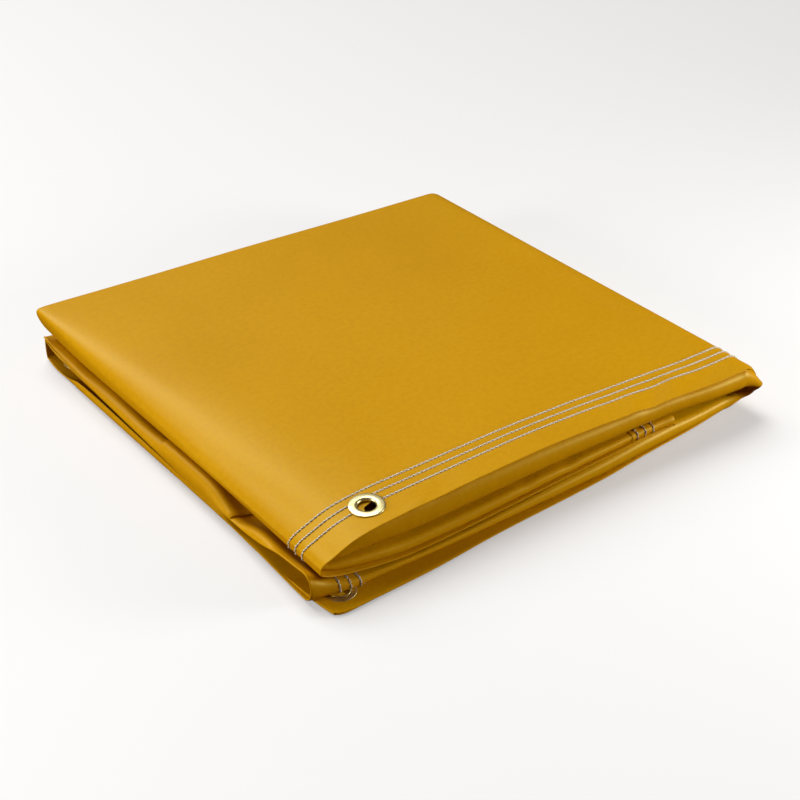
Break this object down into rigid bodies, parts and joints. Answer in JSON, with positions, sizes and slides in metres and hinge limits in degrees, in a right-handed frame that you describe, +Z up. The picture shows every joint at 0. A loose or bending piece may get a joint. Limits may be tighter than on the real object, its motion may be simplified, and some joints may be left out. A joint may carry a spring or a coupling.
{
  "type": "welding curtain screen",
  "caption": "Hemmed opaque vinyl welding curtain with brass grommets, folded in a zigzag and then in three into a flat square pack that lies on a surface.",
  "frame": {"origin": "centre of the bounding box's underside, on the surface the pack lies on", "axes": "+Z up; -Y towards the hemmed front edge; +X towards the outer fold that joins the bottom and top leaves"},
  "size_m": [0.4262, 0.427, 0.047],
  "materials": {
    "vinyl": "satin, smooth coated cloth with a soft wide highlight",
    "vinyl_hem": "satin, same cloth turned under",
    "thread": "matte twisted thread",
    "brass": "bright stamped brass, lightly worn",
    "brass_washer": "dull stamped brass"
  },
  "bodies": {
    "bottom_leaf": {"bottom_panel": "vinyl", "bottom_corner_layer": "vinyl", "bottom_top_hem": "vinyl_hem", "bottom_end_hem": "vinyl_hem", "bottom_base_hem": "vinyl_hem", "bottom_top_seam": "thread", "bottom_end_seam": "thread", "bottom_base_seam": "thread", "bottom_eyelets": "brass", "bottom_washers": "brass_washer", "outer_fold": "vinyl", "outer_fold_top_hem": "vinyl_hem", "outer_fold_base_hem": "vinyl_hem", "outer_fold_top_seam": "thread", "outer_fold_base_seam": "thread"},
    "top_leaf": {"top_panel": "vinyl", "top_leaf_hem": "vinyl_hem", "top_leaf_base_hem": "vinyl_hem", "top_leaf_seam": "thread", "top_leaf_base_seam": "thread", "top_eyelet": "brass", "top_washer": "brass_washer", "inner_fold": "vinyl", "inner_fold_top_hem": "vinyl_hem", "inner_fold_base_hem": "vinyl_hem", "inner_fold_top_seam": "thread", "inner_fold_base_seam": "thread"},
    "tucked_leaf": {"tucked_panel": "vinyl", "tucked_top_hem": "vinyl_hem", "tucked_end_hem": "vinyl_hem", "tucked_base_hem": "vinyl_hem", "tucked_top_seam": "thread", "tucked_end_seam": "thread", "tucked_base_seam": "thread", "tucked_eyelets": "brass", "tucked_washers": "brass_washer"}
  },
  "joints": [
    {"name": "outer_fold_hinge", "type": "hinge", "parent": "bottom_leaf", "child": "top_leaf", "pos_m": [0.19015, 0, 0.0235], "axis": [0, 1, 0], "range_deg": [0, 178], "deforming": ["outer_fold", "outer_fold_top_hem", "outer_fold_base_hem", "outer_fold_top_seam", "outer_fold_base_seam"]},
    {"name": "inner_fold_hinge", "type": "hinge", "parent": "top_leaf", "child": "tucked_leaf", "pos_m": [-0.19785, 0, 0.0312], "axis": [0, 1, 0], "range_deg": [0, 36], "deforming": ["inner_fold", "inner_fold_top_hem", "inner_fold_base_hem", "inner_fold_top_seam", "inner_fold_base_seam"]}
  ],
  "couplings": [
    {"joint": "inner_fold_hinge", "follows": "outer_fold_hinge", "ratio": 0.2}
  ]
}
